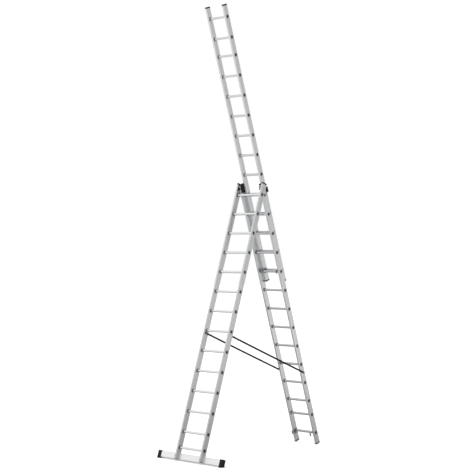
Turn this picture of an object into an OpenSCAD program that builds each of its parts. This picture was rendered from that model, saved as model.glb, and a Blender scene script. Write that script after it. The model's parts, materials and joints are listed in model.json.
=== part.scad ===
// Three-section combination ladder standing as an A-frame: the front and middle
// sections are hinged together near their tops, and the upper section is run out
// along the back of the middle one. Millimetres, feet on z = 0, rungs along X.

/* [Sections] */
// Distance between neighbouring rungs
rung_pitch = 280; // [250:5:300]
// Rungs in each section
rung_count = 14; // [9:1:16]
// Shorter step near the foot of the front and middle sections
short_pitch = 217; // [190:1:250]
// Shorter step near the top of the upper section
upper_short_pitch = 245; // [200:1:280]
// Outside width of the front section
front_w = 480; // [440:5:600]
// Stile beyond the outermost rungs
stile_over = 168; // [166:1:260]
// Front stile beyond its lowest rung, in front of the stabiliser
front_foot_over = 155; // [140:1:162]
// Distance between the rung planes of two nested sections
nest = 65; // [65:1:80]
// Gap at each side between nested stiles
side_gap = 10; // [10:1:14]

/* [Stiles] */
// Thickness of a stile across the ladder
stile_w = 25; // [20:1:32]
// Depth of a front stile
front_depth = 85; // [70:1:90]
// Depth of a middle stile
middle_depth = 84; // [66:1:86]
// Depth of an upper stile
upper_depth = 78; // [60:1:80]
// Wall of the hollow stiles
stile_wall = 1.8; // [1.2:0.1:2.4]
// Outer corner radius of the stiles
stile_r = 3; // [2.5:0.5:7]

/* [Rungs] */
// Height and depth of a rung
rung_size = 30; // [26:1:34]
// Corner radius of a rung
rung_r = 7; // [4:0.5:9]
// Wall of a rung
rung_wall = 1.6; // [1:0.1:2.4]
// How far the bead and the flare stand out around a rung
bead_out = 2.5; // [1.5:0.5:4]
// Thickness of the bead inside the stile
bead_t = 4; // [2:0.5:5]
// Thickness of the flare outside the stile
flare_t = 1.2; // [0.6:0.1:1.6]
// Thickness of a rung plug
plug_t = 8; // [4:0.5:15]
// Depth of a rung plug inside the rung's mouth
plug_recess = 1; // [0:0.5:10]

/* [Stance] */
// Half the angle between the front and middle sections
half_angle = 18.3; // [12:0.1:22]
// Hinge pin above the top rungs
pivot_rise = 40; // [36:1:60]
// Rung of the middle section, counted from its top, that carries the upper section
hook_rung = 5; // [3:1:7]
// Depth of the flat on the sole of a foot
sole_flat = 2; // [1:0.5:4]

/* [Hinge] */
// Thickness of a hinge plate
plate_t = 4; // [3:0.5:4.5]
// Height of a hinge plate above the pin
plate_up = 100; // [80:1:120]
// Width of a hinge plate in front of or behind the pin
plate_back = 60; // [50:1:70]
// Radius of the hinge pin
pin_r = 5; // [4:0.5:6]
// Radial clearance of the hinge pin
pin_clear = 0.05; // [0.02:0.01:0.1]
// Width of the black buffer that stops the middle stile
buffer_w = 27; // [16:1:30]
// Height of the buffer
buffer_h = 50; // [24:1:60]
// Middle of the buffer above the hinge pin
buffer_z = 48; // [40:1:60]

/* [Guides] */
// Height of the part of a guide block behind the middle stile
guide_h = 72; // [60:1:100]
// Clearance of the guide block above the bead of the top rung
guide_gap = 1.5; // [0.5:0.5:10]
// Height of its cheek beside the stile
cheek_h = 105; // [80:1:106]
// Underside of the cheek above the underside of the block
cheek_rise = 25; // [10:1:40]
// Corner radius of the cheek
cheek_r = 24; // [5:1:30]
// How far a guide block stands behind the middle stile
guide_back = 60; // [30:1:64]
// How far its cheek reaches forward over the middle stile
guide_front = 40; // [20:1:50]

/* [Hooks] */
// Width of a hook
hook_w = 22; // [18:1:32]
// Thickness of the hook's bent strip
hook_t = 7; // [5:0.5:9]
// Length of the lip below the rung's centre
hook_lip = 24; // [22:1:45]
// Free play around the carried rung
hook_play = 2; // [1:0.5:4]

/* [Stabiliser] */
// Length of the stabiliser over its end feet
stab_len = 1200; // [900:10:1300]
// Height of the stabiliser
stab_h = 85; // [70:1:90]
// Depth of the stabiliser
stab_t = 40; // [34:1:44]
// Top of the stabiliser below the lowest rung
stab_drop = 76; // [70:1:90]
// Wall of the stabiliser tube
stab_wall = 2; // [1.5:0.1:3]
// Length of an end foot
foot_len = 57; // [45:1:75]
// Wall of an end foot
foot_wall = 5; // [3:0.5:8]
// Radius of a fixing bolt
bolt_r = 5; // [4:0.5:6]

/* [Straps] */
// Width of a spreader strap
strap_w = 26; // [15:1:30]
// Thickness of a spreader strap
strap_t = 2.5; // [1.5:0.1:3]
// Strap anchor on the front stile, below its eighth rung
strap_front_below = 41; // [41:1:50]
// Strap anchor on the middle stile, below its tenth rung
strap_back_below = 120; // [100:1:180]

/* [Hidden] */
$fn = 48;
eps = 1;
middle_w = front_w - 2 * (stile_w + side_gap);
upper_w = middle_w - 2 * (stile_w + side_gap);
front_short_gap = 1;
middle_short_gap = 2;
upper_short_gap = rung_count - 2;
low_span = (rung_count - 1) * rung_pitch - (rung_pitch - short_pitch);
upper_span = (rung_count - 1) * rung_pitch - (rung_pitch - upper_short_pitch);
upper_lift = upper_span - (hook_rung - 1) * rung_pitch;
foot_corner = nest / 2 - middle_depth / 2;
stile_foot_z = -(pivot_rise + low_span + stile_over);
pivot_z = -stile_foot_z * cos(half_angle) - foot_corner * sin(half_angle) - sole_flat;
cap_lid = 18;
cap_plug = 12;
cap_out = 1.2;
foot_lid = 6;
plug_gap = 0.2;
sole_lid = 16;
sole_out = 1.5;
fit_gap = 0.1;
body_gap = 0.3;
far = 4 * stab_len;
rivet_r = 3;
rivet_head_r = 6;
rivet_head_h = 2.5;
rivet_gap = 0.05;
plate_r = 9;
plate_down = 16;
rivet_places = [[10, 26], [10, 60], [10, 90], [50, 88]];
stab_z = -(pivot_rise + low_span + stab_drop + stab_h);
bolt_head_h = 6.4;
bolt_head_r = 9;
nut_h = 8;
strap_x = front_w / 2 - stile_w - side_gap / 2;
strap_tail = 26;
strap_front_drop = pivot_rise + 7 * rung_pitch + strap_front_below;
strap_back_drop = pivot_rise + 9 * rung_pitch + strap_back_below;
pad_w = 34;

// Distance from the top rung down to rung i, where the gap numbered from the foot is short
function drop(i, gap, short) = i * rung_pitch - (i >= rung_count - gap ? rung_pitch - short : 0);
function front_drops() = [for (i = [0:rung_count - 1]) drop(i, front_short_gap, short_pitch)];
function middle_drops() = [for (i = [0:rung_count - 1]) drop(i, middle_short_gap, short_pitch)];
function upper_drops() = [for (i = [0:rung_count - 1]) drop(i, upper_short_gap, upper_short_pitch)];

// Section frames: rung plane at y = 0, hinge pin level at z = 0, z up along the stiles
module in_front() {
    translate([0, 0, pivot_z]) rotate([-half_angle, 0, 0]) translate([0, -nest / 2, 0]) children();
}
module in_middle() {
    translate([0, 0, pivot_z]) rotate([half_angle, 0, 0]) translate([0, nest / 2, 0]) children();
}
module in_upper() {
    in_middle() translate([0, nest, upper_lift]) children();
}
module both_sides() {
    children();
    mirror([1, 0, 0]) children();
}
module left_side() {
    mirror([1, 0, 0]) children();
}
module above_floor() {
    intersection() {
        children();
        translate([-far, -far, 0]) cube([2 * far, 2 * far, 2 * far]);
    }
}

// A rectangle centred on the origin with round corners
module rounded(w, h, r) {
    square([w - 2 * r, h], center = true);
    square([w, h - 2 * r], center = true);
    for (sx = [-1, 1], sy = [-1, 1])
        translate([sx * (w / 2 - r), sy * (h / 2 - r)]) circle(r);
}
// The same rectangle given by its low and high corners
module rounded_to(low, high, r) {
    translate((low + high) / 2) rounded(high[0] - low[0], high[1] - low[1], r);
}
// A bar along X through the origin with a 2D outline in Y and Z
module along_x(low, high) {
    translate([low, 0, 0]) rotate([90, 0, 90]) linear_extrude(high - low) children();
}

// Stiles: hollow rectangular extrusions with grip grooves on the narrow faces
module stile_section(depth) {
    groove = 0.6;
    difference() {
        rounded(stile_w, depth, stile_r);
        rounded(stile_w - 2 * stile_wall, depth - 2 * stile_wall, stile_r - stile_wall);
        for (side = [-1, 1], x = [-5, 0, 5])
            translate([x, side * depth / 2]) square([2, 2 * groove], center = true);
    }
}
module rung_holes(w, drops) {
    size = rung_size + 2 * fit_gap;
    for (d = drops)
        translate([0, 0, -pivot_rise - d])
            along_x(w / 2 - stile_w - eps, w / 2 + eps) rounded(size, size, rung_r + fit_gap);
}
module stile(w, depth, drops, low, high) {
    difference() {
        translate([w / 2 - stile_w / 2, 0, low]) linear_extrude(high - low) stile_section(depth);
        rung_holes(w, drops);
    }
}
module front_stile() {
    high = -pivot_rise + stile_over - cap_lid;
    low = -(pivot_rise + low_span + front_foot_over) + foot_lid;
    difference() {
        stile(front_w, front_depth, front_drops(), low, high);
        translate([0, front_depth / 2 - stab_t, low - eps])
            cube([front_w, stab_t + eps, stab_z + stab_h - low + eps]);
        stabiliser_bolt_hole();
        hinge_holes(-1);
    }
}
module middle_stile() {
    high = -pivot_rise + stile_over - cap_lid;
    difference() {
        stile(middle_w, middle_depth, middle_drops(), stile_foot_z + sole_lid, high);
        hinge_holes(1);
        guide_screw_holes(rivet_r);
    }
}
module upper_stile() {
    high = -pivot_rise + stile_over - cap_lid;
    low = -(pivot_rise + upper_span + stile_over) + cap_lid;
    stile(upper_w, upper_depth, upper_drops(), low, high);
}
module front_stile_left() { color("silver") in_front() left_side() front_stile(); }
module front_stile_right() { color("silver") in_front() front_stile(); }
module middle_stile_left() { color("silver") in_middle() left_side() middle_stile(); }
module middle_stile_right() { color("silver") in_middle() middle_stile(); }
module upper_stile_left() { color("silver") in_upper() left_side() upper_stile(); }
module upper_stile_right() { color("silver") in_upper() upper_stile(); }

// Rungs: square tubes with a grooved tread, beaded inside and flared outside the stiles
module rung_outline() {
    groove = 0.8;
    difference() {
        rounded(rung_size, rung_size, rung_r);
        for (y = [-6, -2, 2, 6])
            translate([y, rung_size / 2]) square([1.6, 2 * groove], center = true);
    }
}
module rung(w) {
    inner = rung_size - 2 * rung_wall;
    outer = rung_size + 2 * bead_out;
    difference() {
        union() {
            along_x(-w / 2 - flare_t, w / 2 + flare_t) rung_outline();
            both_sides() {
                along_x(w / 2 - stile_w - bead_t, w / 2 - stile_w) rounded(outer, outer, rung_r + bead_out);
                along_x(w / 2, w / 2 + flare_t) rounded(outer, outer, rung_r + bead_out);
            }
        }
        along_x(-w / 2 - flare_t - eps, w / 2 + flare_t + eps) rounded(inner, inner, rung_r - rung_wall);
    }
}
module rungs(w, drops) {
    for (d = drops) translate([0, 0, -pivot_rise - d]) rung(w);
}
// Plugs a little inside the open ends of the rungs
module rung_plugs(w, drops) {
    size = rung_size - 2 * rung_wall - 2 * fit_gap;
    for (d = drops) translate([0, 0, -pivot_rise - d]) both_sides()
        along_x(w / 2 - plug_recess - plug_t, w / 2 - plug_recess)
            rounded(size, size, rung_r - rung_wall - fit_gap);
}
module front_rungs() { color("gainsboro") in_front() rungs(front_w, front_drops()); }
module middle_rungs() { color("gainsboro") in_middle() rungs(middle_w, middle_drops()); }
module upper_rungs() { color("gainsboro") in_upper() rungs(upper_w, upper_drops()); }
module front_rung_plugs() { color("black") in_front() rung_plugs(front_w, front_drops()); }
module middle_rung_plugs() { color("black") in_middle() rung_plugs(middle_w, middle_drops()); }
module upper_rung_plugs() { color("black") in_upper() rung_plugs(upper_w, upper_drops()); }

// Plastic end caps: a lid over the end of the stile and a plug inside it
module end_cap(w, depth, lid, out) {
    inset = 2 * (stile_wall + plug_gap);
    translate([w / 2 - stile_w / 2, 0, 0]) {
        linear_extrude(lid) rounded(stile_w + 2 * out, depth + 2 * out, stile_r + out);
        translate([0, 0, -cap_plug]) linear_extrude(cap_plug + eps)
            rounded(stile_w - inset, depth - inset, stile_r - stile_wall - plug_gap);
    }
}
module top_caps(w, depth) {
    both_sides() translate([0, 0, -pivot_rise + stile_over - cap_lid]) end_cap(w, depth, cap_lid, cap_out);
}
module bottom_caps(w, depth, z, lid, out) {
    both_sides() translate([0, 0, z]) mirror([0, 0, 1]) end_cap(w, depth, lid, out);
}
module front_top_caps() { color("black") in_front() top_caps(front_w, front_depth); }
module middle_top_caps() { color("black") in_middle() top_caps(middle_w, middle_depth); }
module upper_top_caps() { color("black") in_upper() top_caps(upper_w, upper_depth); }
module upper_bottom_caps() {
    color("black") in_upper()
        bottom_caps(upper_w, upper_depth, -(pivot_rise + upper_span + stile_over) + cap_lid, cap_lid, cap_out);
}
module middle_feet() {
    color("black") above_floor() in_middle()
        bottom_caps(middle_w, middle_depth, stile_foot_z + sole_lid, sole_lid, sole_out);
}
module front_foot_plugs() {
    z = -(pivot_rise + low_span + front_foot_over) + foot_lid;
    color("black") in_front() difference() {
        intersection() {
            bottom_caps(front_w, front_depth, z, foot_lid, 0);
            translate([-front_w, -front_depth / 2 - stab_t, z - cap_plug])
                cube([2 * front_w, front_depth, 2 * cap_plug]);
        }
        both_sides() stabiliser_bolt_hole();
    }
}

// Stabiliser: a cross tube in the notch of the front stiles, bolted through, with end feet
module stabiliser_section(shrink) {
    translate([front_depth / 2 - stab_t / 2, stab_z + stab_h / 2])
        rounded(stab_t - 2 * shrink, stab_h - 2 * shrink, 5 - shrink);
}
module stabiliser_bar() {
    half = stab_len / 2 - foot_wall;
    color("silver") in_front() difference() {
        along_x(-half, half) difference() {
            stabiliser_section(0);
            stabiliser_section(stab_wall);
        }
        both_sides() stabiliser_bolt_hole();
    }
}
module stabiliser_foot() {
    base_out = 9;
    base_h = 10;
    centre = [front_depth / 2 - stab_t / 2, stab_z + stab_h / 2];
    difference() {
        above_floor() union() {
            in_front() along_x(stab_len / 2 - foot_len, stab_len / 2) translate([0, -foot_wall])
                translate(centre) rounded(stab_t + 2 * foot_wall, stab_h + 4 * foot_wall, 6);
            in_front_floor() translate([stab_len / 2 - foot_len, -stab_t / 2 - base_out, 0])
                cube([foot_len, stab_t + 2 * base_out, base_h]);
        }
        in_front() along_x(stab_len / 2 - foot_len - eps, stab_len / 2 - foot_wall) stabiliser_section(0);
    }
}
// The spot on the floor below the middle of the stabiliser
module in_front_floor() {
    y = front_depth / 2 - stab_t / 2 - nest / 2;
    translate([0, y * cos(half_angle) + stab_z * sin(half_angle), 0]) children();
}
module stabiliser_foot_left() { color("black") left_side() stabiliser_foot(); }
module stabiliser_foot_right() { color("black") stabiliser_foot(); }
module stabiliser_bolt_hole() {
    translate([front_w / 2 - stile_w / 2, 0, stab_z + stab_h / 2]) rotate([90, 0, 0])
        cylinder(r = bolt_r + fit_gap, h = 2 * front_depth, center = true);
}
module stabiliser_bolts() {
    color("gray") in_front() both_sides()
        translate([front_w / 2 - stile_w / 2, -front_depth / 2, stab_z + stab_h / 2]) rotate([-90, 0, 0]) {
            translate([0, 0, -bolt_head_h]) cylinder(r = bolt_head_r, h = bolt_head_h, $fn = 6);
            cylinder(r = bolt_r, h = front_depth + nut_h + 3);
        }
}
module stabiliser_nuts() {
    color("gray") in_front() both_sides()
        translate([front_w / 2 - stile_w / 2, front_depth / 2, stab_z + stab_h / 2]) rotate([-90, 0, 0])
            difference() {
                cylinder(r = bolt_head_r, h = nut_h, $fn = 6);
                translate([0, 0, -eps]) cylinder(r = bolt_r + rivet_gap, h = nut_h + 2 * eps);
            }
}

// Hinge: two steel plates a side, turning on a short pin between the stiles.
// The side value is -1 for the front section and 1 for the middle one.
module at_pin(side) {
    translate([0, -side * nest / 2, 0]) children();
}
module hinge_plate(side, low, high) {
    at_pin(side) difference() {
        along_x(low, high) scale_side(side) {
            rounded_to([-plate_r, -plate_down], [plate_back, plate_up], plate_r);
            circle(plate_down);
        }
        for (p = rivet_places) translate([0, side * p[0], p[1]]) rivet_hole();
    }
}
module scale_side(side) {
    if (side > 0) children();
    else mirror([1, 0]) children();
}
module rivet_hole() {
    rotate([0, 90, 0]) cylinder(r = rivet_r + rivet_gap, h = front_w);
}
module hinge_holes(side) {
    at_pin(side) for (p = rivet_places) translate([0, side * p[0], p[1]]) rivet_hole();
    if (side < 0)
        at_pin(side) rotate([0, 90, 0])
            cylinder(r = pin_r + pin_clear, h = front_w / 2 - stile_w / 2);
}
module front_hinge_plates() {
    inner = front_w / 2 - stile_w;
    color("lightgray") in_front() both_sides() difference() {
        hinge_plate(-1, inner - plate_t, inner);
        hinge_holes(-1);
    }
}
module middle_hinge_plates() {
    color("lightgray") in_middle() both_sides() hinge_plate(1, middle_w / 2, middle_w / 2 + plate_t);
}
module hinge_rivets(side, flush_x, head_x) {
    length = abs(head_x - flush_x);
    turn = head_x > flush_x ? 90 : -90;
    at_pin(side) for (p = rivet_places) translate([flush_x, side * p[0], p[1]]) rotate([0, turn, 0]) {
        cylinder(r = rivet_r, h = length);
        translate([0, 0, length]) cylinder(r = rivet_head_r, h = rivet_head_h);
    }
}
module front_hinge_rivets() {
    color("silver") in_front() both_sides() hinge_rivets(-1, front_w / 2 - stile_w - plate_t, front_w / 2);
}
module middle_hinge_rivets() {
    color("silver") in_middle() both_sides() hinge_rivets(1, middle_w / 2 + plate_t, middle_w / 2 - stile_w);
}
module hinge_pins() {
    start = middle_w / 2 + plate_t;
    stop = front_w / 2 - stile_w + stile_wall + 6;
    color("gray") in_middle() at_pin(1) both_sides() translate([start, 0, 0]) rotate([0, 90, 0])
        cylinder(r = pin_r, h = stop - start);
}
// Black buffers on the front stiles, cut parallel to the open middle stile that rests on them
module hinge_buffers() {
    low_x = middle_w / 2 - stile_w / 2;
    high_x = front_w / 2 - stile_w - plate_t;
    front_of_middle = max(plate_r, middle_depth / 2 - nest / 2) + body_gap;
    color("black") in_front() both_sides() difference() {
        translate([low_x, stile_r - front_depth / 2, buffer_z - buffer_h / 2])
            cube([high_x - low_x, buffer_w, buffer_h]);
        at_pin(-1) rotate([2 * half_angle, 0, 0])
            translate([0, -front_of_middle, -far]) cube([front_w, far, 2 * far]);
    }
}

// Guide blocks: black plastic blocks that keep the upper stiles beside the middle ones
module guide_outline() {
    flare_side = upper_w / 2 + flare_t + 2 * body_gap;
    back = middle_depth / 2;
    polygon([
        [flare_side, -guide_front], [middle_w / 2 - stile_w, -guide_front],
        [middle_w / 2 - stile_w, back], [middle_w / 2 - stile_r, back],
        [middle_w / 2 - stile_r, back + guide_back - stile_r],
        [middle_w / 2 - 2 * stile_r, back + guide_back], [flare_side, back + guide_back]
    ]);
}
module guide() {
    low = -pivot_rise + rung_size / 2 + bead_out + guide_gap;
    back = middle_depth / 2;
    cheek_low = [-guide_front, low + cheek_rise];
    difference() {
        union() {
            translate([0, 0, low]) linear_extrude(guide_h) intersection() {
                guide_outline();
                translate([0, back]) square([middle_w / 2, 2 * guide_back]);
            }
            intersection() {
                translate([0, 0, low]) linear_extrude(cheek_rise + cheek_h) guide_outline();
                along_x(0, middle_w / 2 - stile_w)
                    rounded_to(cheek_low, [back + guide_back, cheek_low[1] + cheek_h], cheek_r);
            }
        }
        hinge_rivet_room();
        guide_screw_holes(rivet_r + rivet_gap);
    }
}
// Room for the heads of the hinge rivets beside the guide block
module hinge_rivet_room() {
    at_pin(1) for (p = rivet_places) translate([0, p[0], p[1]]) rotate([0, 90, 0])
        cylinder(r = rivet_head_r + body_gap, h = middle_w / 2);
}
guide_screw_z = [0, 40];
module guide_screw_holes(r) {
    for (z = guide_screw_z)
        translate([middle_w / 2 - stile_w / 2, middle_depth / 2 - 2 * stile_wall, z]) rotate([-90, 0, 0])
            cylinder(r = r, h = guide_back + 4 * stile_wall);
}
module guide_screws() {
    length = guide_back + 2 * stile_wall;
    color("gray") in_middle() both_sides() for (z = guide_screw_z)
        translate([middle_w / 2 - stile_w / 2, middle_depth / 2 - 2 * stile_wall, z]) rotate([-90, 0, 0]) {
            cylinder(r = rivet_r - rivet_gap, h = length);
            translate([0, 0, length]) cylinder(r = rivet_head_r, h = rivet_head_h);
        }
}
module guide_left() { color("black") in_middle() left_side() guide(); }
module guide_right() { color("black") in_middle() guide(); }

// Hooks: bent steel strips at the lowest rung that reach over the next section's rung
hook_plate_t = 4;
hook_rivet_y = [14, 26];
module hook_plate_outline(depth) {
    rounded_to([-depth / 2 + 4, -46], [depth / 2 - 2, rung_size / 2 + hook_t], 6);
}
module hook(w, depth) {
    face = w / 2 - stile_w;
    under = rung_size / 2 + body_gap;
    tip = -nest - rung_size / 2 - hook_play;
    room = rung_size + 2 * (bead_out + body_gap);
    difference() {
        union() {
            along_x(face - hook_plate_t, face) hook_plate_outline(depth);
            along_x(face - hook_w, face) {
                translate([tip - hook_t, under]) square([rung_size / 2 - tip + hook_t, hook_t]);
                rounded_to([tip - hook_t, -hook_lip], [tip, under + hook_t], hook_t / 2 - 0.5);
            }
        }
        along_x(face - hook_plate_t - eps, face + eps) rounded(room, room, rung_r + bead_out);
        for (y = hook_rivet_y) translate([face - hook_w, y, -34]) rotate([0, 90, 0])
            cylinder(r = rivet_r + rivet_gap, h = hook_w + eps);
    }
}
module hook_rivets(w) {
    face = w / 2 - stile_w;
    both_sides() for (y = hook_rivet_y) translate([face, y, -34]) rotate([0, -90, 0]) {
        cylinder(r = rivet_r, h = hook_plate_t);
        translate([0, 0, hook_plate_t]) cylinder(r = rivet_head_r - 1, h = rivet_head_h);
    }
}
module at_lowest(span) {
    translate([0, 0, -pivot_rise - span]) children();
}
module middle_hook() { in_middle() at_lowest(low_span) hook(middle_w, middle_depth); }
module upper_hook() { in_upper() at_lowest(upper_span) hook(upper_w, upper_depth); }
module middle_hook_left() { color("dimgray") left_side() middle_hook(); }
module middle_hook_right() { color("dimgray") middle_hook(); }
module middle_hook_rivets() { color("silver") in_middle() at_lowest(low_span) hook_rivets(middle_w); }
module upper_hook_left() { color("dimgray") left_side() upper_hook(); }
module upper_hook_right() { color("dimgray") upper_hook(); }
module upper_hook_rivets() { color("silver") in_upper() at_lowest(upper_span) hook_rivets(upper_w); }

// Spreader straps between an anchor on the front stile and one on the middle stile
strap_front = [
    -nest / 2 * cos(half_angle) - strap_front_drop * sin(half_angle),
    nest / 2 * sin(half_angle) - strap_front_drop * cos(half_angle)
];
strap_back = [
    nest / 2 * cos(half_angle) + strap_back_drop * sin(half_angle),
    nest / 2 * sin(half_angle) - strap_back_drop * cos(half_angle)
];
strap_run = strap_back - strap_front;
strap_reach = norm(strap_run);
module along_strap() {
    translate([0, strap_front[0], pivot_z + strap_front[1]])
        rotate([atan2(strap_run[1], strap_run[0]), 0, 0]) children();
}
module strap() {
    along_strap() difference() {
        along_x(strap_x - strap_t / 2, strap_x + strap_t / 2)
            translate([strap_reach / 2, 0]) square([strap_reach + 2 * strap_tail, strap_w], center = true);
        for (y = [0, strap_reach]) translate([strap_x, y, 0]) rotate([0, 90, 0])
            cylinder(r = rivet_r + rivet_gap, h = 2 * strap_t, center = true);
    }
}
module strap_left() { color("black") left_side() strap(); }
module strap_right() { color("black") strap(); }
// One anchor: a pad against the stile, a stud through the strap and its washer head
module strap_anchor(face_x, y) {
    to_strap = strap_x + (face_x > strap_x ? 1 : -1) * strap_t / 2;
    far_side = strap_x - (face_x > strap_x ? 1 : -1) * strap_t / 2;
    away = face_x > strap_x ? -90 : 90;
    both_sides() along_strap() translate([0, y, 0]) {
        along_x(min(face_x, to_strap), max(face_x, to_strap)) rounded(pad_w, strap_w + 6, 5);
        translate([face_x, 0, 0]) rotate([0, away, 0])
            cylinder(r = rivet_r, h = abs(far_side - face_x) + 1);
        translate([far_side, 0, 0]) rotate([0, away, 0]) cylinder(r = rivet_head_r, h = 2);
    }
}
module front_strap_anchors() { color("silver") strap_anchor(front_w / 2 - stile_w, 0); }
module middle_strap_anchors() { color("silver") strap_anchor(middle_w / 2, strap_reach); }

front_stile_left();
front_stile_right();
front_rungs();
front_rung_plugs();
front_top_caps();
front_foot_plugs();
stabiliser_bar();
stabiliser_foot_left();
stabiliser_foot_right();
stabiliser_bolts();
stabiliser_nuts();
front_hinge_plates();
front_hinge_rivets();
hinge_buffers();
strap_left();
strap_right();
front_strap_anchors();
middle_stile_left();
middle_stile_right();
middle_rungs();
middle_rung_plugs();
middle_top_caps();
middle_feet();
middle_hinge_plates();
middle_hinge_rivets();
hinge_pins();
guide_left();
guide_right();
guide_screws();
middle_hook_left();
middle_hook_right();
middle_hook_rivets();
middle_strap_anchors();
upper_stile_left();
upper_stile_right();
upper_rungs();
upper_rung_plugs();
upper_top_caps();
upper_bottom_caps();
upper_hook_left();
upper_hook_right();
upper_hook_rivets();
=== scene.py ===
import bpy
import bmesh
import numpy as np
import json
from math import cos, pi, radians, sin
from mathutils import Matrix, Vector


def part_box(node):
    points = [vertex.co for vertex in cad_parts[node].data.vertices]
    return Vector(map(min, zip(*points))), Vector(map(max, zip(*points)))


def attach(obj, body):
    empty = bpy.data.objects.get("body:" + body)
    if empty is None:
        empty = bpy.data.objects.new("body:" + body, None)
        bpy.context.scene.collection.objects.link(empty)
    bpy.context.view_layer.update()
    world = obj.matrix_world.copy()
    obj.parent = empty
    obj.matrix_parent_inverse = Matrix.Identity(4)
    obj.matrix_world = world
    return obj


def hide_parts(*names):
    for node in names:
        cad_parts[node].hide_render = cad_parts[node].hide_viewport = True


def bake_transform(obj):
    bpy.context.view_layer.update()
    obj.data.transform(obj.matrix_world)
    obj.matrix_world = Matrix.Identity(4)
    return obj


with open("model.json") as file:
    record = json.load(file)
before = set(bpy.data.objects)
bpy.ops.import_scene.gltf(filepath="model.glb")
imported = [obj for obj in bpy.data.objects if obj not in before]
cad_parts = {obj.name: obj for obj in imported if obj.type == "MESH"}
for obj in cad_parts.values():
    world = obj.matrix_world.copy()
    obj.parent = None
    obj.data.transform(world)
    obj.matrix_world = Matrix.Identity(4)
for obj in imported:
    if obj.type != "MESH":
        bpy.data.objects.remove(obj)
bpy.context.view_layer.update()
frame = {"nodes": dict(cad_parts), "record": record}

# Camera.
# It stands in front of the ladder and well to its right, 2.8 m above the floor, and looks almost
# level through a long lens, so that upright lines stay almost parallel.
camera_place = (11.9951, -13.2039, 2.8207)
camera_turn, camera_rise, camera_roll = radians(42.987), radians(0.614), radians(0.129)
camera_lens_mm, camera_film_mm = 98.27, 36.0
camera_sight_end = 200.0

ahead = Vector((-sin(camera_turn) * cos(camera_rise), cos(camera_turn) * cos(camera_rise), sin(camera_rise)))
level = Vector((cos(camera_turn), sin(camera_turn), 0))
above = level.cross(ahead)
across = cos(camera_roll) * level + sin(camera_roll) * above
upward = -sin(camera_roll) * level + cos(camera_roll) * above
camera_data = bpy.data.cameras.new("camera")
camera_data.lens = camera_lens_mm
camera_data.sensor_width = camera_film_mm
camera_data.clip_end = camera_sight_end
camera = bpy.data.objects.new("camera", camera_data)
bpy.context.collection.objects.link(camera)
camera_axes = Matrix((across, upward, -ahead)).transposed().to_4x4()
camera.matrix_world = Matrix.Translation(camera_place) @ camera_axes
bpy.context.scene.camera = camera

# Studio.
# A white cyclorama: the eye sees a plain white floor and wall. Soft boxes stand to the left
# and overhead, and the wall on the right is left dimmer, which models the satin metal.
studio_floor_half = 60.0
studio_floor_white = 0.97
# Painted shade: near the ladder the floor is painted this dark for all rays but the camera's.
studio_floor_painted_shade = 0.46
studio_floor_lift = 0.22
studio_floor_shade_fades_over = (3.0, 11.0)
studio_floor_roughness = 0.9
studio_sky_low = 0.54
studio_box_towards = (-0.64, -0.64, 0.42)
studio_box_edge = (0.15, 0.98)
studio_box_gain = 0.52
studio_top_edge = (-0.05, 1.0)
studio_top_gain = 0.25
studio_lamp_strength = 0.5
studio_lamp_spread = radians(70)
studio_lamp_turn = (radians(12), radians(24), 0)


def add(tree, kind, inputs={}, **settings):
    """Adds a shader node, gives it its settings, and links or fills its inputs by name or number."""
    node = tree.nodes.new("ShaderNode" + kind)
    for name, value in settings.items():
        setattr(node, name, value)
    for name, value in inputs.items():
        if isinstance(value, bpy.types.NodeSocket):
            tree.links.new(value, node.inputs[name])
        else:
            node.inputs[name].default_value = value
    return node


def ramp(tree, value, low, high, to_low=0.0, to_high=1.0):
    """Carries value smoothly from the span low..high to the span to_low..to_high."""
    return add(tree, "MapRange", {"Value": value, "From Min": low, "From Max": high, "To Min": to_low,
                                  "To Max": to_high}, interpolation_type="SMOOTHSTEP").outputs["Result"]


def arithmetic(tree, operation, *values):
    """One step of arithmetic on numbers and sockets, taken in the order given."""
    return add(tree, "Math", dict(enumerate(values)), operation=operation).outputs[0]


def finish_of(name):
    """Starts a material: its name, its node tree and its Principled shader."""
    material = bpy.data.materials.new(name)
    material.use_nodes = True
    return material, material.node_tree, material.node_tree.nodes["Principled BSDF"]


def into(tree, shader, **values):
    """Links or fills the named sockets of the Principled shader; an underscore stands for a space."""
    for name, value in values.items():
        socket = shader.inputs[name.replace("_", " ")]
        if isinstance(value, bpy.types.NodeSocket):
            tree.links.new(value, socket)
        else:
            socket.default_value = value


floor_mesh = bpy.data.meshes.new("studio_floor")
far = studio_floor_half
floor_mesh.from_pydata([(-far, -far, 0), (far, -far, 0), (far, far, 0), (-far, far, 0)], [], [(0, 1, 2, 3)])
floor = bpy.data.objects.new("studio_floor", floor_mesh)
bpy.context.collection.objects.link(floor)
floor_paint, tree, shader = finish_of("studio floor paint")
spot = add(tree, "TexCoord").outputs["Object"]
reach = add(tree, "VectorMath", {0: spot}, operation="LENGTH").outputs["Value"]
# Painted shade: the floor seen in reflections is grey near the ladder and white far off.
floor_shade_paint = ramp(tree, reach, *studio_floor_shade_fades_over, studio_floor_painted_shade, studio_floor_white)
seen = add(tree, "LightPath").outputs["Is Camera Ray"]
white = add(tree, "Mix", {0: seen, 2: floor_shade_paint, 3: studio_floor_white}, data_type="FLOAT").outputs[0]
paint = add(tree, "CombineColor", {"Red": white, "Green": white, "Blue": white}).outputs[0]
lift = arithmetic(tree, "MULTIPLY", seen, studio_floor_lift)
into(tree, shader, Base_Color=paint, Roughness=studio_floor_roughness,
     Emission_Color=(1, 1, 1, 1), Emission_Strength=lift)
shader.inputs["Specular IOR Level"].default_value = 0.0
floor_mesh.materials.append(floor_paint)

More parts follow.
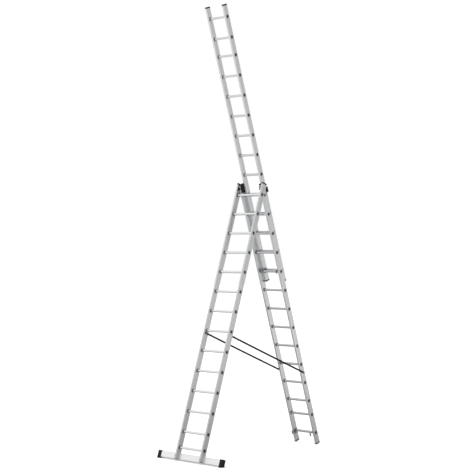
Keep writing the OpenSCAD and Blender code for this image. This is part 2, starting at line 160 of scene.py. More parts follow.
studio = bpy.data.worlds.new("studio")
bpy.context.scene.world = studio
studio.use_nodes = True
tree = studio.node_tree
way = add(tree, "TexCoord").outputs["Generated"]
to_box = add(tree, "VectorMath", {0: way, 1: studio_box_towards}, operation="DOT_PRODUCT").outputs["Value"]
height = add(tree, "SeparateXYZ", {0: way}).outputs["Z"]
box_light = ramp(tree, to_box, *studio_box_edge, 0.0, studio_box_gain)
top_light = ramp(tree, height, *studio_top_edge, studio_sky_low, studio_sky_low + studio_top_gain)
both = arithmetic(tree, "ADD", box_light, top_light)
seen = add(tree, "LightPath").outputs["Is Camera Ray"]
strength = add(tree, "Mix", {0: seen, 2: both, 3: 1.0}, data_type="FLOAT").outputs[0]
tree.links.new(strength, tree.nodes["Background"].inputs["Strength"])
tree.nodes["Background"].inputs["Color"].default_value = (1, 1, 1, 1)

lamp_data = bpy.data.lights.new("studio_lamp", "SUN")
lamp_data.energy = studio_lamp_strength
lamp_data.angle = studio_lamp_spread
lamp = bpy.data.objects.new("studio_lamp", lamp_data)
bpy.context.collection.objects.link(lamp)
lamp.rotation_euler = studio_lamp_turn
bpy.context.scene.view_settings.view_transform = "Standard"

# Front stiles.
# The two side rails of the front leg, hollow aluminium box extrusions, mill finished with a
# satin wipe. Drawing leaves fine lines along them, and handling leaves dull scuffs across.
# Painted light and shade: the stiles and rungs of each section get their own tint for how they are lit, the
# front stiles darker than the other stiles.
front_stile_tint_as_lit = (0.66, 0.67, 0.68)
rail_roughness = 0.36
line_pitch, line_stretch, line_roughness, line_depth = 700, 0.004, 0.05, 0.0002
band_coarseness, band_shades = 0.12, (0.92, 1.05)
scuff_scale, scuff_stretch, scuff_cut = 26, 0.35, (0.56, 0.74)
scuff_strength, scuff_shade, scuff_roughness = 0.35, 0.80, 0.35
# Painted shade: these values darken each rail round its rung joints.
joint_shade_reach, joint_shade_strength, joint_shade_tone, joint_shade_roughness = (0.018, 0.036), 0.75, 0.22, 0.15
tread_end, tread_polish_and_highlight, tread_polish = (0.09, 0.17), 1.12, -0.12
# Painted shade: the rungs are darkened towards their beads, where they meet the stiles.
shaded_bead_near, shaded_bead_far, bead_painted_shade = 0.016, 0.004, 0.35
rungs_apart = 0.05
joint_shade_patch_scale, tread_patch_scale, line_bump = 120, 45, 0.25

joints = {j["name"]: j for j in frame["record"]["behaviour"]["joints"]}
pin_height = joints["fold"]["pos_m"][2]
lean_sin, lean_cos = -joints["upper_slide"]["axis"][1], joints["upper_slide"]["axis"][2]
lean = float(np.arctan2(lean_sin, lean_cos))
body_of = {node: body for body, nodes in frame["record"]["behaviour"]["bodies"].items() for node in nodes}
front_lean, back_lean = lean, -lean


def shader_group(name, inputs, outputs):
    """Opens a shader node group with plain number or vector inputs, and returns it with both ends."""
    group = bpy.data.node_groups.new(name, "ShaderNodeTree")
    for sockets, way in ((inputs, "INPUT"), (outputs, "OUTPUT")):
        for socket_name, kind in sockets:
            group.interface.new_socket(name=socket_name, in_out=way, socket_type="NodeSocket" + kind)
    return group, group.nodes.new("NodeGroupInput").outputs, group.nodes.new("NodeGroupOutput").inputs


def noise(tree, place, scale, detail, roughness=0.5, distortion=0.0):
    """Cloudy noise between 0 and 1, with the given number of its cells to the metre."""
    return add(tree, "TexNoise", {"Vector": place, "Scale": scale, "Detail": detail, "Roughness": roughness,
                                  "Distortion": distortion}).outputs[0]


def mixed(tree, share, one, other):
    """The colour that lies a share of the way from one colour to the other."""
    return add(tree, "Mix", {0: share, 6: one, 7: other}, data_type="RGBA").outputs[2]


def stretched(tree, place, share):
    """A place with its Z brought down to a share, which stretches a pattern along Z."""
    return add(tree, "VectorMath", {0: place, 1: (1, 1, share)}, operation="MULTIPLY").outputs[0]


def rotated(tree, vector, centre, angle, axis):
    """A vector turned by the angle about an axis, X or Y, through the centre."""
    return add(tree, "VectorRotate", {"Vector": vector, "Center": centre, "Angle": angle},
               rotation_type=axis + "_AXIS").outputs[0]


def make_drawn_lines():
    """Marks of a drawn extrusion whose length is Z. Lines is noise stretched 250 times along Z,
    Bands is like noise about eight times as coarse, and Scuffs is warped noise cut off low down."""
    group, given, made = shader_group(
        "drawn lines", [("Place", "Vector"), ("Pitch", "Float")],
        [("Lines", "Float"), ("Bands", "Float"), ("Scuffs", "Float")])
    drawn = stretched(group, given["Place"], line_stretch)
    coarse = arithmetic(group, "MULTIPLY", given["Pitch"], band_coarseness)
    wiped = stretched(group, given["Place"], scuff_stretch)
    rubbed = noise(group, wiped, scuff_scale, 5, 0.7, 1.2)
    for name, socket in (("Lines", noise(group, drawn, given["Pitch"], 3, 0.65)),
                         ("Bands", noise(group, drawn, coarse, 2)),
                         ("Scuffs", ramp(group, rubbed, *scuff_cut))):
        group.links.new(socket, made[name])
    return group


drawn_lines = make_drawn_lines()


def along_profile(tree, section_lean, runs_along):
    """The place on a piece in its section's own upright frame, turned so that Z runs along the profile,
    and the same place unturned."""
    upright = rotated(tree, add(tree, "TexCoord").outputs["Object"], (0, 0, pin_height), section_lean, "X")
    if runs_along == "Z":
        return upright, upright
    return rotated(tree, upright, (0, 0, 0), radians(90), "Y"), upright


def shade(colour, share):
    """A colour brought down or up by one factor, with its alpha."""
    return tuple(min(1.0, channel * share) for channel in colour) + (1,)


def rung_places(node, section_lean):
    """Where a section's rungs cross its stiles, in its own upright frame: their place in Y, the height
    of the top one, the usual pitch, the middle of the short step, and how much shorter that step is.
    The rungs are told apart by the gaps in the heights of their vertices."""
    mesh = frame["nodes"][node].data
    points = np.empty(len(mesh.vertices) * 3)
    mesh.vertices.foreach_get("co", points)
    points = points.reshape(-1, 3) - (0, 0, pin_height)
    across = points[:, 1] * cos(section_lean) - points[:, 2] * sin(section_lean)
    heights = np.sort(points[:, 1] * sin(section_lean) + points[:, 2] * cos(section_lean)) + pin_height
    breaks = np.flatnonzero(np.diff(heights) > rungs_apart)
    centres = (heights[np.r_[0, breaks + 1]] + heights[np.r_[breaks, len(heights) - 1]]) / 2
    steps = np.diff(centres)
    short = int(np.argmin(steps))
    return (float(across.min() + across.max()) / 2, float(centres[-1]), float(np.median(steps)),
            float(centres[short:short + 2].mean()), float(np.median(steps) - steps[short]))


def joint_painted_shade(tree, upright, places):
    """Painted shade round each rung joint, a grey patch on the rail: full up to the near end of its reach
    from the rung's centre, gone at the far end, and broken up by noise. The distance to the nearest rung
    is the height folded at half the pitch, after all below the short step is moved down by what it lacks."""
    rung_y, top, pitch, short_at, lacking = places
    parts = add(tree, "SeparateXYZ", {0: upright}).outputs
    below = arithmetic(tree, "LESS_THAN", parts["Z"], short_at)
    height = arithmetic(tree, "MULTIPLY_ADD", below, -lacking, parts["Z"])
    fold = arithmetic(tree, "PINGPONG", arithmetic(tree, "SUBTRACT", top, height), pitch / 2)
    aside = arithmetic(tree, "SUBTRACT", parts["Y"], rung_y)
    away = add(tree, "CombineXYZ", {"Y": aside, "Z": fold}).outputs[0]
    away = add(tree, "VectorMath", {0: away}, operation="LENGTH").outputs["Value"]
    patches = ramp(tree, noise(tree, upright, joint_shade_patch_scale, 4, 0.6), 0.2, 0.6, 0.6, 1.0)
    return arithmetic(tree, "MULTIPLY", ramp(tree, away, *joint_shade_reach, 1.0, 0.0), patches)


def drawn_aluminium(name, section_lean, runs_along, tint, roughness, shaded_bead_at=None, shaded_at=None):
    """Satin extruded aluminium: tint times the band shades, duller and rougher in the scuffs, with a
    roughness that swings with the lines. A rung is smoother and lighter in patches on top, polished there
    and partly brightened by painted light, and darkened towards its beads by painted shade; the beads are
    shaded_bead_at from the middle. A rail gets painted shade, grey and rougher, round the joints of the
    rungs of the node shaded_at."""
    material, tree, shader = finish_of(name)
    place, upright = along_profile(tree, section_lean, runs_along)
    marks = add(tree, "Group", {}, node_tree=drawn_lines)
    tree.links.new(place, marks.inputs["Place"])
    marks.inputs["Pitch"].default_value = line_pitch
    bands = ramp(tree, marks.outputs["Bands"], 0.3, 0.7)
    base = mixed(tree, bands, shade(tint, band_shades[0]), shade(tint, band_shades[1]))
    worn = arithmetic(tree, "MULTIPLY", marks.outputs["Scuffs"], scuff_strength)
    base = mixed(tree, worn, base, shade(tint, scuff_shade))
    rough = ramp(tree, marks.outputs["Lines"], 0.25, 0.75, roughness - line_roughness,
                 roughness + line_roughness)
    rough = arithmetic(tree, "MULTIPLY_ADD", worn, scuff_roughness, rough)
    # Painted shade round the rung joints: the rail is greyed there.
    if shaded_at:
        joint_shade = joint_painted_shade(tree, upright, rung_places(shaded_at, section_lean))
        joint_shade = arithmetic(tree, "MULTIPLY", joint_shade, joint_shade_strength)
        base = mixed(tree, joint_shade, base, shade(tint, joint_shade_tone))
        rough = arithmetic(tree, "MULTIPLY_ADD", joint_shade, joint_shade_roughness, rough)
    if shaded_bead_at:
        normal = rotated(tree, add(tree, "TexCoord").outputs["Normal"], (0, 0, 0), section_lean, "X")
        up = ramp(tree, add(tree, "SeparateXYZ", {0: normal}).outputs["Z"], 0.75, 0.98)
        side = arithmetic(tree, "ABSOLUTE", add(tree, "SeparateXYZ", {0: upright}).outputs["X"])
        # Painted shade: the rung darkens towards its beads at the stiles.
        bead_shade_mask = ramp(tree, side, shaded_bead_at - shaded_bead_near, shaded_bead_at - shaded_bead_far)
        base = mixed(tree, bead_shade_mask, base, shade(tint, bead_painted_shade))
        # Partly painted light: the tops of the treads are brightened as well as polished smoother.
        tread = arithmetic(tree, "MULTIPLY", up, ramp(tree, side, *tread_end, 1.0, 0.0))
        patches = ramp(tree, noise(tree, upright, tread_patch_scale, 4, 0.65), 0.35, 0.6)
        tread = arithmetic(tree, "MULTIPLY", tread, patches)
        base = mixed(tree, tread, base, shade(tint, tread_polish_and_highlight))
        rough = arithmetic(tree, "MULTIPLY_ADD", tread, tread_polish, rough)
    bump = add(tree, "Bump", {"Height": marks.outputs["Lines"], "Strength": line_bump,
                              "Distance": line_depth})
    into(tree, shader, Base_Color=base, Roughness=rough, Metallic=1.0, Normal=bump.outputs[0])
    return material


def finish_node(node, material):
    """Gives a CAD node its material in every slot."""
    slots = frame["nodes"][node].data.materials
    if len(slots) == 0:
        slots.append(material)
    for number in range(len(slots)):
        slots[number] = material


front_stile_metal = drawn_aluminium("front stile aluminium", front_lean, "Z", front_stile_tint_as_lit,
                                    rail_roughness, shaded_at="front_rungs")
for node in ("front_stile_left", "front_stile_right"):
    finish_node(node, front_stile_metal)

# Front rungs.
# Fourteen rounded square tubes with a grooved tread, pushed through the stiles, beaded inside
# and flared outside. Their tint differs from the stiles' as painted light and shade, set for how they
# are lit, and their treads are lighter and smoother on top, partly polish and partly painted light.
front_rung_tint_as_lit = (0.71, 0.71, 0.72)
rung_roughness = 0.34
front_rung_metal = drawn_aluminium("front rung aluminium", front_lean, "X", front_rung_tint_as_lit, rung_roughness,
                                   shaded_bead_at=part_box("front_stile_right")[0][0])
finish_node("front_rungs", front_rung_metal)

# Rung plugs.
# Black polyethylene plugs pushed a little way into the open rung ends of all three sections,
# dark pieces set as painted shade for the hollow of each rung end, with the fine grain of a
# spark-eroded mould and a little dust settled on it.
rung_end_shade_tint = (0.009, 0.009, 0.0095)
settled_dust = (0.16, 0.155, 0.15, 1)
mottle_span, mottle_shades = (0.3, 0.7), (0.8, 1.5)
moulded_gloss, grain_bump = 0.22, 0.5
mottle_scale, dust_scale = 24, 90


def make_moulded_grain():
    """The skin of a moulding. Grain is fine cellular noise, Mottle is slow noise a few centimetres wide,
    and Dust is patchy noise that lies where the surface looks up."""
    group, given, made = shader_group("moulded grain", [("Fineness", "Float")],
                                      [("Grain", "Float"), ("Mottle", "Float"), ("Dust", "Float")])
    coordinates = add(group, "TexCoord").outputs
    place = coordinates["Object"]
    fine = add(group, "TexVoronoi", {"Vector": place, "Scale": given["Fineness"]})
    up = ramp(group, add(group, "SeparateXYZ", {0: coordinates["Normal"]}).outputs["Z"], 0.2, 0.95)
    patches = ramp(group, noise(group, place, dust_scale, 5, 0.7), 0.42, 0.62)
    for name, socket in (("Grain", fine.outputs["Distance"]),
                         ("Mottle", noise(group, place, mottle_scale, 4)),
                         ("Dust", arithmetic(group, "MULTIPLY", up, patches))):
        group.links.new(socket, made[name])
    return group


moulded_grain = make_moulded_grain()


def moulded_black(name, tint, roughness, fineness, depth, dusty):
    """Black moulding: tint times the mottle shades, dust over it, and the grain as bump."""
    material, tree, shader = finish_of(name)
    skin = add(tree, "Group", {}, node_tree=moulded_grain)
    skin.inputs["Fineness"].default_value = fineness
    mottle = ramp(tree, skin.outputs["Mottle"], *mottle_span)
    base = mixed(tree, mottle, shade(tint, mottle_shades[0]), shade(tint, mottle_shades[1]))
    dust = arithmetic(tree, "MULTIPLY", skin.outputs["Dust"], dusty)
    base = mixed(tree, dust, base, settled_dust)
    rough = ramp(tree, skin.outputs["Mottle"], *mottle_span, roughness - 0.06, roughness + 0.08)
    bump = add(tree, "Bump", {"Height": skin.outputs["Grain"], "Strength": grain_bump, "Distance": depth})
    into(tree, shader, Base_Color=base, Roughness=rough, Normal=bump.outputs[0])
    shader.inputs["Specular IOR Level"].default_value = moulded_gloss
    return material


# Painted shade: black plugs darken the open rung ends.
rung_end_shade_plastic = moulded_black("rung end painted shade", rung_end_shade_tint,
                             roughness=0.6, fineness=1400, depth=0.0001, dusty=0.03)
for node in ("front_rung_plugs", "middle_rung_plugs", "upper_rung_plugs"):
    finish_node(node, rung_end_shade_plastic)

# Caps on the front stiles.
# Black polypropylene lids with a plug that grips inside the stile at the top, and half plugs in
# the notched bottom ends. Every edge has the small radius that a moulding tool leaves.
cap_tint = (0.012, 0.012, 0.0128)
cap_edge_radius = 0.0022
sharp_corner = radians(35)
weld_distance, flat_within = 1e-5, radians(0.6)


def softened(node, material, radius, steps):
    """A copy of a CAD node, welded from its loose triangles, with every edge that turns more than the
    sharp corner rounded to the radius in the given steps. It stands for the node and rides on its
    body."""
    mesh = frame["nodes"][node].data.copy()
    mesh.name = node + "_finished"
    welded = bmesh.new()
    welded.from_mesh(mesh)
    bmesh.ops.remove_doubles(welded, verts=welded.verts, dist=weld_distance)
    bmesh.ops.dissolve_limit(welded, angle_limit=flat_within, verts=welded.verts, edges=welded.edges)
    welded.to_mesh(mesh)
    welded.free()
    mesh.materials.clear()
    mesh.materials.append(material)
    mesh.shade_smooth()
    mesh.set_sharp_from_angle(angle=sharp_corner)
    piece = bpy.data.objects.new(node + "_finished", mesh)
    bpy.context.collection.objects.link(piece)
    rounding = piece.modifiers.new("edge radius", "BEVEL")
    rounding.width = radius
    rounding.segments = steps
    rounding.limit_method = "ANGLE"
    rounding.angle_limit = sharp_corner
    rounding.harden_normals = True
    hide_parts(node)
    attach(piece, body_of[node])
    return piece


cap_plastic = moulded_black("stile cap plastic", cap_tint,
                            roughness=0.46, fineness=1100, depth=0.00012, dusty=0.04)
softened("front_top_caps", cap_plastic, radius=cap_edge_radius, steps=3)
softened("front_foot_plugs", cap_plastic, radius=0.0012, steps=2)

# Stabiliser bar.
# A wide flat aluminium tube bolted into the notches at the foot of the front stiles. It is
# anodised a little whiter than the mill-finished rails.
bar_tint = (0.79, 0.79, 0.80)
bar_roughness = 0.40
bar_metal = drawn_aluminium("stabiliser aluminium", front_lean, "X", bar_tint, bar_roughness)
finish_node("stabiliser_bar", bar_metal)

# Stabiliser feet.
# Black rubber boots pushed over both ends of the bar, with a flange that spreads on the floor.
foot_tint = (0.008, 0.008, 0.0084)
foot_rubber = moulded_black("foot rubber", foot_tint,
                            roughness=0.66, fineness=800, depth=0.0002, dusty=0.05)
softened("stabiliser_foot_left", foot_rubber, radius=0.0025, steps=3)
softened("stabiliser_foot_right", foot_rubber, radius=0.0025, steps=3)

# Stabiliser bolts and nuts.
# M10 hexagon bolts through stile and bar with nuts behind, in blue-white zinc plate that has
# lost some of its shine in slow clouds.
zinc_tint = (0.62, 0.64, 0.66)
bolt_tint = shade(zinc_tint, 0.7)[:3]
plate_fineness, plate_pit_depth, plate_dulling = 900, 0.00008, 0.16
cloud_scale, plate_bump = 110, 0.3


def make_plated_skin():
    """Plated or set metal: Cloud is slow noise where it has dulled, Pits is cellular noise cut low."""
    group, given, made = shader_group("plated skin", [("Fineness", "Float")],
                                      [("Cloud", "Float"), ("Pits", "Float")])
    place = add(group, "TexCoord").outputs["Object"]
    pits = add(group, "TexVoronoi", {"Vector": place, "Scale": given["Fineness"]})
    group.links.new(ramp(group, noise(group, place, cloud_scale, 5, 0.65), 0.35, 0.68), made["Cloud"])
    group.links.new(ramp(group, pits.outputs["Distance"], 0.05, 0.35), made["Pits"])
    return group


plated_skin = make_plated_skin()


def plated_steel(name, tint, roughness, dulled, metallic=1.0):
    """Plated steel: tint down to the dulled share of it in the clouds, where it is rougher too."""
    material, tree, shader = finish_of(name)
    skin = add(tree, "Group", {}, node_tree=plated_skin)
    skin.inputs["Fineness"].default_value = plate_fineness
    cloud = skin.outputs["Cloud"]
    base = mixed(tree, cloud, shade(tint, 1.0), shade(tint, dulled))
    rough = ramp(tree, cloud, 0.0, 1.0, roughness, roughness + plate_dulling)
    bump = add(tree, "Bump", {"Height": skin.outputs["Pits"], "Strength": plate_bump,
                              "Distance": plate_pit_depth})
    into(tree, shader, Base_Color=base, Roughness=rough, Metallic=metallic, Normal=bump.outputs[0])
    return material


bolt_zinc = plated_steel("bolt zinc", bolt_tint, roughness=0.34, dulled=0.7)
softened("stabiliser_bolts", bolt_zinc, radius=0.0009, steps=2)
softened("stabiliser_nuts", bolt_zinc, radius=0.0009, steps=2)

# Middle stiles.
# The narrower pair of rails that swings back from the hinge, the same alloy and finish, with its own tint for
# how it is lit, which is painted light and shade.
middle_stile_tint_as_lit = (0.76, 0.77, 0.78)
middle_stile_metal = drawn_aluminium("middle stile aluminium", back_lean, "Z", middle_stile_tint_as_lit,
                                     rail_roughness, shaded_at="middle_rungs")
for node in ("middle_stile_left", "middle_stile_right"):
    finish_node(node, middle_stile_metal)

# Middle rungs and top caps.
# The rungs match those of the front leg in tube, beads and grooves, and the caps match too.
# Painted light and shade: the middle rungs get their own tint for how they are lit.
middle_rung_tint_as_lit = (0.64, 0.64, 0.65)
middle_rung_metal = drawn_aluminium("middle rung aluminium", back_lean, "X", middle_rung_tint_as_lit, rung_roughness,
                                    shaded_bead_at=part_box("middle_stile_right")[0][0])
finish_node("middle_rungs", middle_rung_metal)
softened("middle_top_caps", cap_plastic, radius=cap_edge_radius, steps=3)

# Middle feet.
# Rubber soles plugged into the bottom of the middle stiles, moulded flat where they stand on
# the floor.
softened("middle_feet", foot_rubber, radius=0.0018, steps=3)

# Hinge.
# Pressed steel plates on the inside of the front stiles and the outside of the middle ones,
# zinc plated, riveted through the rails and turning on a short steel pin each side.
hinge_zinc = plated_steel("hinge zinc", zinc_tint, roughness=0.36, dulled=0.8)
for node in ("front_hinge_plates", "middle_hinge_plates", "hinge_pins"):
    softened(node, hinge_zinc, radius=0.0007, steps=2)

# Hinge rivets.
# Domed aluminium rivets, bright where the set has pressed them.
rivet_tint = (0.84, 0.84, 0.85)
rivet_metal = plated_steel("rivet aluminium", rivet_tint, roughness=0.28, dulled=0.85)
for node in ("front_hinge_rivets", "middle_hinge_rivets"):
    softened(node, rivet_metal, radius=0.0018, steps=3)

# Hinge buffers.
# Black polyamide blocks on the front stiles that the opened middle leg comes to rest on.
buffer_plastic = moulded_black("buffer plastic", cap_tint,
                               roughness=0.5, fineness=1000, depth=0.00012, dusty=0.03)
softened("hinge_buffers", buffer_plastic, radius=0.0015, steps=3)

# Guide blocks and their screws.
# Glass-filled nylon blocks screwed to the back of the middle stiles; the upper rails slide
# between them.
guide_plastic = moulded_black("guide plastic", cap_tint,
                              roughness=0.44, fineness=1000, depth=0.00012, dusty=0.04)
for node in ("guide_left", "guide_right"):
    softened(node, guide_plastic, radius=0.0022, steps=3)
softened("guide_screws", hinge_zinc, radius=0.0015, steps=3)

# Upper stiles, rungs and caps.
# The narrowest section, which slides up the back of the middle one, with black caps at both
# ends of its rails.
# Painted light and shade: the upper stiles and rungs get their own tints for how they are lit.
upper_stile_tint_as_lit = (0.78, 0.79, 0.80)
upper_stile_metal = drawn_aluminium("upper stile aluminium", back_lean, "Z", upper_stile_tint_as_lit,
                                    rail_roughness, shaded_at="upper_rungs")
for node in ("upper_stile_left", "upper_stile_right"):
    finish_node(node, upper_stile_metal)
upper_rung_tint_as_lit = (0.68, 0.68, 0.69)
upper_rung_metal = drawn_aluminium("upper rung aluminium", back_lean, "X", upper_rung_tint_as_lit, rung_roughness,
                                   shaded_bead_at=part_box("upper_stile_right")[0][0])
finish_node("upper_rungs", upper_rung_metal)
softened("upper_top_caps", cap_plastic, radius=cap_edge_radius, steps=3)
softened("upper_bottom_caps", cap_plastic, radius=cap_edge_radius, steps=3)

# Hooks and their rivets.
# Bent steel strips riveted to the foot of the middle and upper sections, with a dark
# passivated finish that is duller in slow clouds.
hook_tint = (0.36, 0.365, 0.37)
hook_steel = plated_steel("hook steel", hook_tint, roughness=0.40, dulled=0.6, metallic=0.9)
for node in ("middle_hook_left", "middle_hook_right", "upper_hook_left", "upper_hook_right"):
    softened(node, hook_steel, radius=0.0016, steps=3)
for node in ("middle_hook_rivets", "upper_hook_rivets"):
    softened(node, rivet_metal, radius=0.0015, steps=3)

# Strap anchors.
# Zinc plated pads with a riveted stud, on the inside of the front stiles and the outside of
# the middle ones. Each stud holds one end of a strap.
for node in ("front_strap_anchors", "middle_strap_anchors"):
    softened(node, hinge_zinc, radius=0.0008, steps=2)

# Spreader straps.
# Black polypropylene webbing, 26 mm wide, woven in a herringbone with a tight selvedge. Each end
# is folded back on itself and sewn, and the stud of its anchor goes through the fold.
strap_width = 0.026
strap_layer = 0.00125
strap_fold = 0.075
strap_tail = 0.024
strap_sag = 0.002
strap_stations = 900
strap_weave_pitch = 0.0026
strap_weave_lift = 0.00009
strap_weave_slant = 0.004
strap_fold_edge = 0.0015
strap_corners = 20
strap_crease = radians(50)
webbing_stripe, webbing_rib, webbing_yarn, webbing_depth = 0.0025, 0.0013, 0.0008, 0.0003
fade_scale, fuzz_scale, webbing_bump = 14, 1800, 0.7
webbing_sheen, webbing_gloss = 0.08, 0.2
strap_tint = (0.012, 0.012, 0.013)


def middle_of(node):
    """The middle of a CAD node's box in Y and Z."""
    low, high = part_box(node)
    return (np.array(low) + np.array(high))[1:] / 2


strap_low, strap_high = middle_of("front_strap_anchors"), middle_of("middle_strap_anchors")
strap_run = strap_high - strap_low
strap_span = float(np.linalg.norm(strap_run))
strap_side = float(sum(corner[0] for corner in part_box("strap_right")) / 2)


def strap_line(distance):
    """Points along the strap in Y and Z, and its direction there. It is a straight line between the
    anchors, let down by the sag times 4 t (1 - t), where t is the share of the span, and 0 past the ends."""
    share = np.clip(distance / strap_span, 0, 1)
    unit = strap_run / strap_span
    drop = np.array([unit[1], -unit[0]])
    point = strap_low + distance[:, None] * unit + (strap_sag * 4 * share * (1 - share))[:, None] * drop
    slope = strap_sag * 4 * (1 - 2 * share) / strap_span * ((distance > 0) & (distance < strap_span))
    direction = unit + slope[:, None] * drop
    return point, direction / np.linalg.norm(direction, axis=1)[:, None]


def closed_tube(rings):
    """Faces of a skin over rings of points, ring after ring, closed round each ring and at both ends."""
    count, around = rings
    ring, corner = np.meshgrid(np.arange(count - 1), np.arange(around), indexing="ij")
    after = (corner + 1) % around
    sides = np.stack([ring * around + corner, ring * around + after,
                      (ring + 1) * around + after, (ring + 1) * around + corner], -1).reshape(-1, 4)
    return [tuple(face) for face in sides.tolist()], [tuple(range(around - 1, -1, -1)),
                                                     tuple(range((count - 1) * around, count * around))]


def strap_skin(side):
    """Points of one strap. Its section is a flat ring: half the width times sin a to the power 0.7 across,
    half the thickness times the fourth root of cos a through, each with its sign, and it is carried along
    the strap's line. The thickness is
    one layer, and two at the folded ends, rippled by the weave as sine of distance over its pitch."""
    distance = np.linspace(-strap_tail, strap_span + strap_tail, strap_stations)
    point, direction = strap_line(distance)
    normal = np.stack([-direction[:, 1], direction[:, 0]], -1)
    angle = np.linspace(0, 2 * pi, strap_corners, endpoint=False) + pi / strap_corners
    wide = np.sign(np.sin(angle)) * np.abs(np.sin(angle)) ** 0.7 * strap_width / 2
    thick = np.sign(np.cos(angle)) * np.abs(np.cos(angle)) ** 0.25
    from_end = np.minimum(distance, strap_span - distance)
    doubled = np.clip((strap_fold - from_end) / strap_fold_edge, 0, 1)
    layer = strap_layer / 2 * (1 + doubled * doubled * (3 - 2 * doubled))
    ripple = strap_weave_lift * np.sin(2 * pi * distance[:, None] / strap_weave_pitch
                                       + 3 * np.abs(wide) / strap_weave_slant)
    through = thick * (layer[:, None] - strap_weave_lift) + np.sign(thick) * ripple * (np.abs(thick) > 0.6)
    x = side * strap_side + through
    y = point[:, None, 0] + normal[:, None, 0] * wide
    z = point[:, None, 1] + normal[:, None, 1] * wide
    uv = np.stack(np.broadcast_arrays(distance[:, None], wide[None]), -1)
    return np.stack([x, y, z], -1).reshape(-1, 3), uv.reshape(-1, 2), (strap_stations, len(angle))


def mesh_piece(name, points, faces, material):
    """A new piece from points and faces, with its normals turned outwards."""
    mesh = bpy.data.meshes.new(name)
    mesh.from_pydata(points.tolist(), [], faces)
    turned = bmesh.new()
    turned.from_mesh(mesh)
    bmesh.ops.recalc_face_normals(turned, faces=turned.faces)
    turned.to_mesh(mesh)
    turned.free()
    mesh.shade_smooth()
    mesh.set_sharp_from_angle(angle=strap_crease)
    mesh.materials.append(material)
    piece = bpy.data.objects.new(name, mesh)
    bpy.context.collection.objects.link(piece)
    return piece


def herringbone_webbing(name, tint):
    """Woven webbing on its own UV map, in metres along and across. A sine wave at 45 degrees, turned back
    at each stripe, makes the herringbone, a finer wave across makes the yarns, and noise roughens it."""
    material, tree, shader = finish_of(name)
    parts = add(tree, "SeparateXYZ", {0: add(tree, "UVMap", {}, uv_map="along_across").outputs[0]}).outputs
    place = add(tree, "TexCoord").outputs["Object"]
    slant = arithmetic(tree, "ADD", arithmetic(tree, "PINGPONG", parts["Y"], webbing_stripe), parts["X"])
    ribs = arithmetic(tree, "SINE", arithmetic(tree, "MULTIPLY", slant, 2 * pi / webbing_rib))
    yarn = arithmetic(tree, "SINE", arithmetic(tree, "MULTIPLY", parts["Y"], 2 * pi / webbing_yarn))
    weave_height_and_shade = ramp(tree, arithmetic(tree, "MULTIPLY_ADD", yarn, 0.45, ribs), -1.4, 1.4)
    # Painted shade and highlight: the colour runs from half the tint in the hollows of the weave to 1.6 times
    # it on the ridges.
    base = mixed(tree, weave_height_and_shade, shade(tint, 0.5), shade(tint, 1.6))
    faded = ramp(tree, noise(tree, place, fade_scale, 3), 0.4, 0.7, 0.0, 0.4)
    base = mixed(tree, faded, base, shade(tint, 2.4))
    rough = ramp(tree, noise(tree, place, fuzz_scale, 2), 0.3, 0.7, 0.66, 0.86)
    bump = add(tree, "Bump", {"Height": weave_height_and_shade, "Strength": webbing_bump, "Distance": webbing_depth})
    into(tree, shader, Base_Color=base, Roughness=rough, Normal=bump.outputs[0])
    shader.inputs["Sheen Weight"].default_value = webbing_sheen
    shader.inputs["Sheen Roughness"].default_value = 0.5
    shader.inputs["Specular IOR Level"].default_value = webbing_gloss
    return material


webbing = herringbone_webbing("strap webbing", strap_tint)
for side, name in ((-1, "strap_left"), (1, "strap_right")):
    points, uv, rings = strap_skin(side)
    sides, ends = closed_tube(rings)
    strap = mesh_piece(name + "_webbing", points, sides + ends, webbing)
    corners = np.empty(len(strap.data.loops), dtype=np.int32)
    strap.data.loops.foreach_get("vertex_index", corners)
    layer = strap.data.uv_layers.new(name="along_across")
    layer.data.foreach_set("uv", uv[corners].astype(np.float32).ravel())
    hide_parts(name)
    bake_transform(strap)

# Strap stitching.
# Bonded nylon thread, a box with a cross sewn through both layers of each folded end.
stitch_length = 0.0026
stitch_gap = 0.0032
stitch_radius = 0.00042
stitch_box = (0.014, 0.062)
stitch_half_width = 0.0085
stitch_flatness = 0.8
stitch_sunk = 0.0001
thread_tint = (0.05, 0.05, 0.052)


def stitch_seam(start, end):
    """Middles and directions of the stitches of one straight seam, set evenly from start to end."""
    start, end = np.array(start), np.array(end)
    length = np.linalg.norm(end - start)
    count = max(2, int(round(length / stitch_gap)))
    share = (np.arange(count) + 0.5) / count
    return start + share[:, None] * (end - start), np.repeat([(end - start) / length], count, 0)


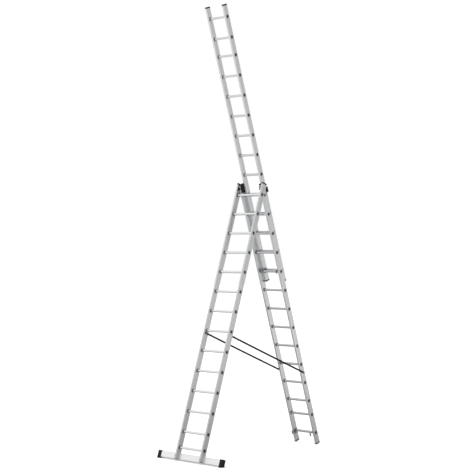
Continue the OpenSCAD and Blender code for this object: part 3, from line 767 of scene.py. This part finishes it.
def stitch_pattern():
    """The box and cross of one strap end, as places along and across the strap and directions there."""
    near, far_end = stitch_box
    w = stitch_half_width
    corners = [((near, -w), (far_end, -w)), ((near, w), (far_end, w)), ((near, -w), (near, w)),
               ((far_end, -w), (far_end, w)), ((near, -w), (far_end, w)), ((near, w), (far_end, -w))]
    seams = [stitch_seam(*corner) for corner in corners]
    return np.concatenate([s[0] for s in seams]), np.concatenate([s[1] for s in seams])


def stitch_points(side):
    """Points of all stitches of one strap. Each stitch is a spindle: rings of six points whose radius
    goes with the sine of the place along it, a little flattened, on both faces of both strap ends."""
    place, heading = stitch_pattern()
    groups = []
    for end in (0, 1):
        distance = place[:, 0] if end == 0 else strap_span - place[:, 0]
        ahead_by = heading[:, 0] * (1 if end == 0 else -1)
        point, direction = strap_line(distance)
        normal = np.stack([-direction[:, 1], direction[:, 0]], -1)
        middle = point + normal * place[:, 1:2]
        along = direction * ahead_by[:, None] + normal * heading[:, 1:2]
        beside = np.stack([-along[:, 1], along[:, 0]], -1)
        for face in (-1, 1):
            groups.append((middle, along, beside, face))
    share = np.array([0.04, 0.2, 0.5, 0.8, 0.96])
    angle = np.linspace(0, 2 * pi, 6, endpoint=False)
    radius = stitch_radius * np.sin(pi * share)[:, None]
    forward = ((share - 0.5) * stitch_length)[:, None] + 0 * angle
    sideways = radius * np.cos(angle)
    outward = stitch_flatness * radius * np.sin(angle)
    blocks = []
    for middle, along, beside, face in groups:
        flat = (middle[:, None, None] + forward[None, ..., None] * along[:, None, None]
                + sideways[None, ..., None] * beside[:, None, None])
        x = side * strap_side + face * (strap_layer - stitch_sunk) + np.broadcast_to(outward, flat.shape[:3])
        blocks.append(np.concatenate([x[..., None], flat], -1).reshape(-1, len(share) * len(angle), 3))
    return np.concatenate(blocks), (len(share), len(angle))


stitch_thread = moulded_black("strap thread", thread_tint,
                              roughness=0.6, fineness=2500, depth=0.00005, dusty=0.0)
for side, name in ((-1, "strap_left"), (1, "strap_right")):
    stitches, rings = stitch_points(side)
    sides, ends = closed_tube(rings)
    first = np.arange(len(stitches))[:, None, None] * stitches.shape[1]
    faces = [face for kind in (sides, ends)
             for face in (first + np.array(kind)).reshape(-1, len(kind[0])).tolist()]
    sewing = mesh_piece(name + "_stitching", stitches.reshape(-1, 3), faces, stitch_thread)
    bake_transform(sewing)
